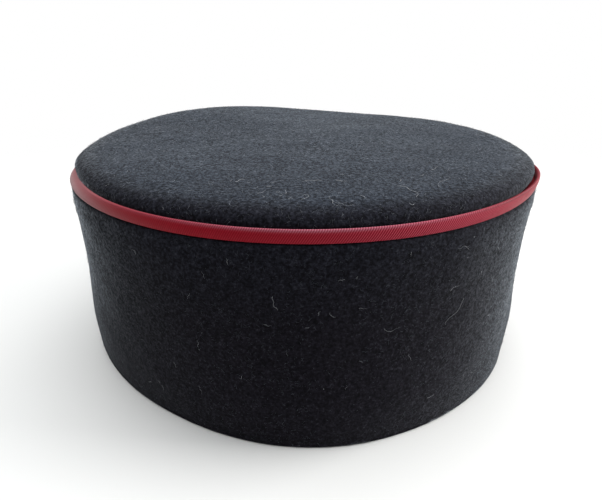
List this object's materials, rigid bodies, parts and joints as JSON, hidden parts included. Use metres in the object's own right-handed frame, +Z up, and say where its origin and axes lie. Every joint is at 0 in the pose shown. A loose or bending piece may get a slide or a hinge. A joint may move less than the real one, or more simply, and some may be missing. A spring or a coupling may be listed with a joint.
{
  "type": "kullu cap",
  "caption": "Round flat-topped cap of thick black wool felt, a straight side band and a soft-edged top joined by a maroon folded-tape piping; worn on the head.",
  "frame": {"origin": "middle of the head opening, on the surface that the hem stands on", "axes": "+Z up through the top; -Y is the front, the side that the picture shows; +X is the cap's side on the right of that view"},
  "size_m": [0.19, 0.1892, 0.0876],
  "materials": {
    "black_felt": "matt milled wool felt, near black with a grey nap and pale lint",
    "maroon_tape": "twill bias tape folded double, soft silky gloss"
  },
  "bodies": {
    "root": {"side_band": "black_felt", "crown_top": "black_felt", "piping": "maroon_tape"}
  },
  "joints": []
}
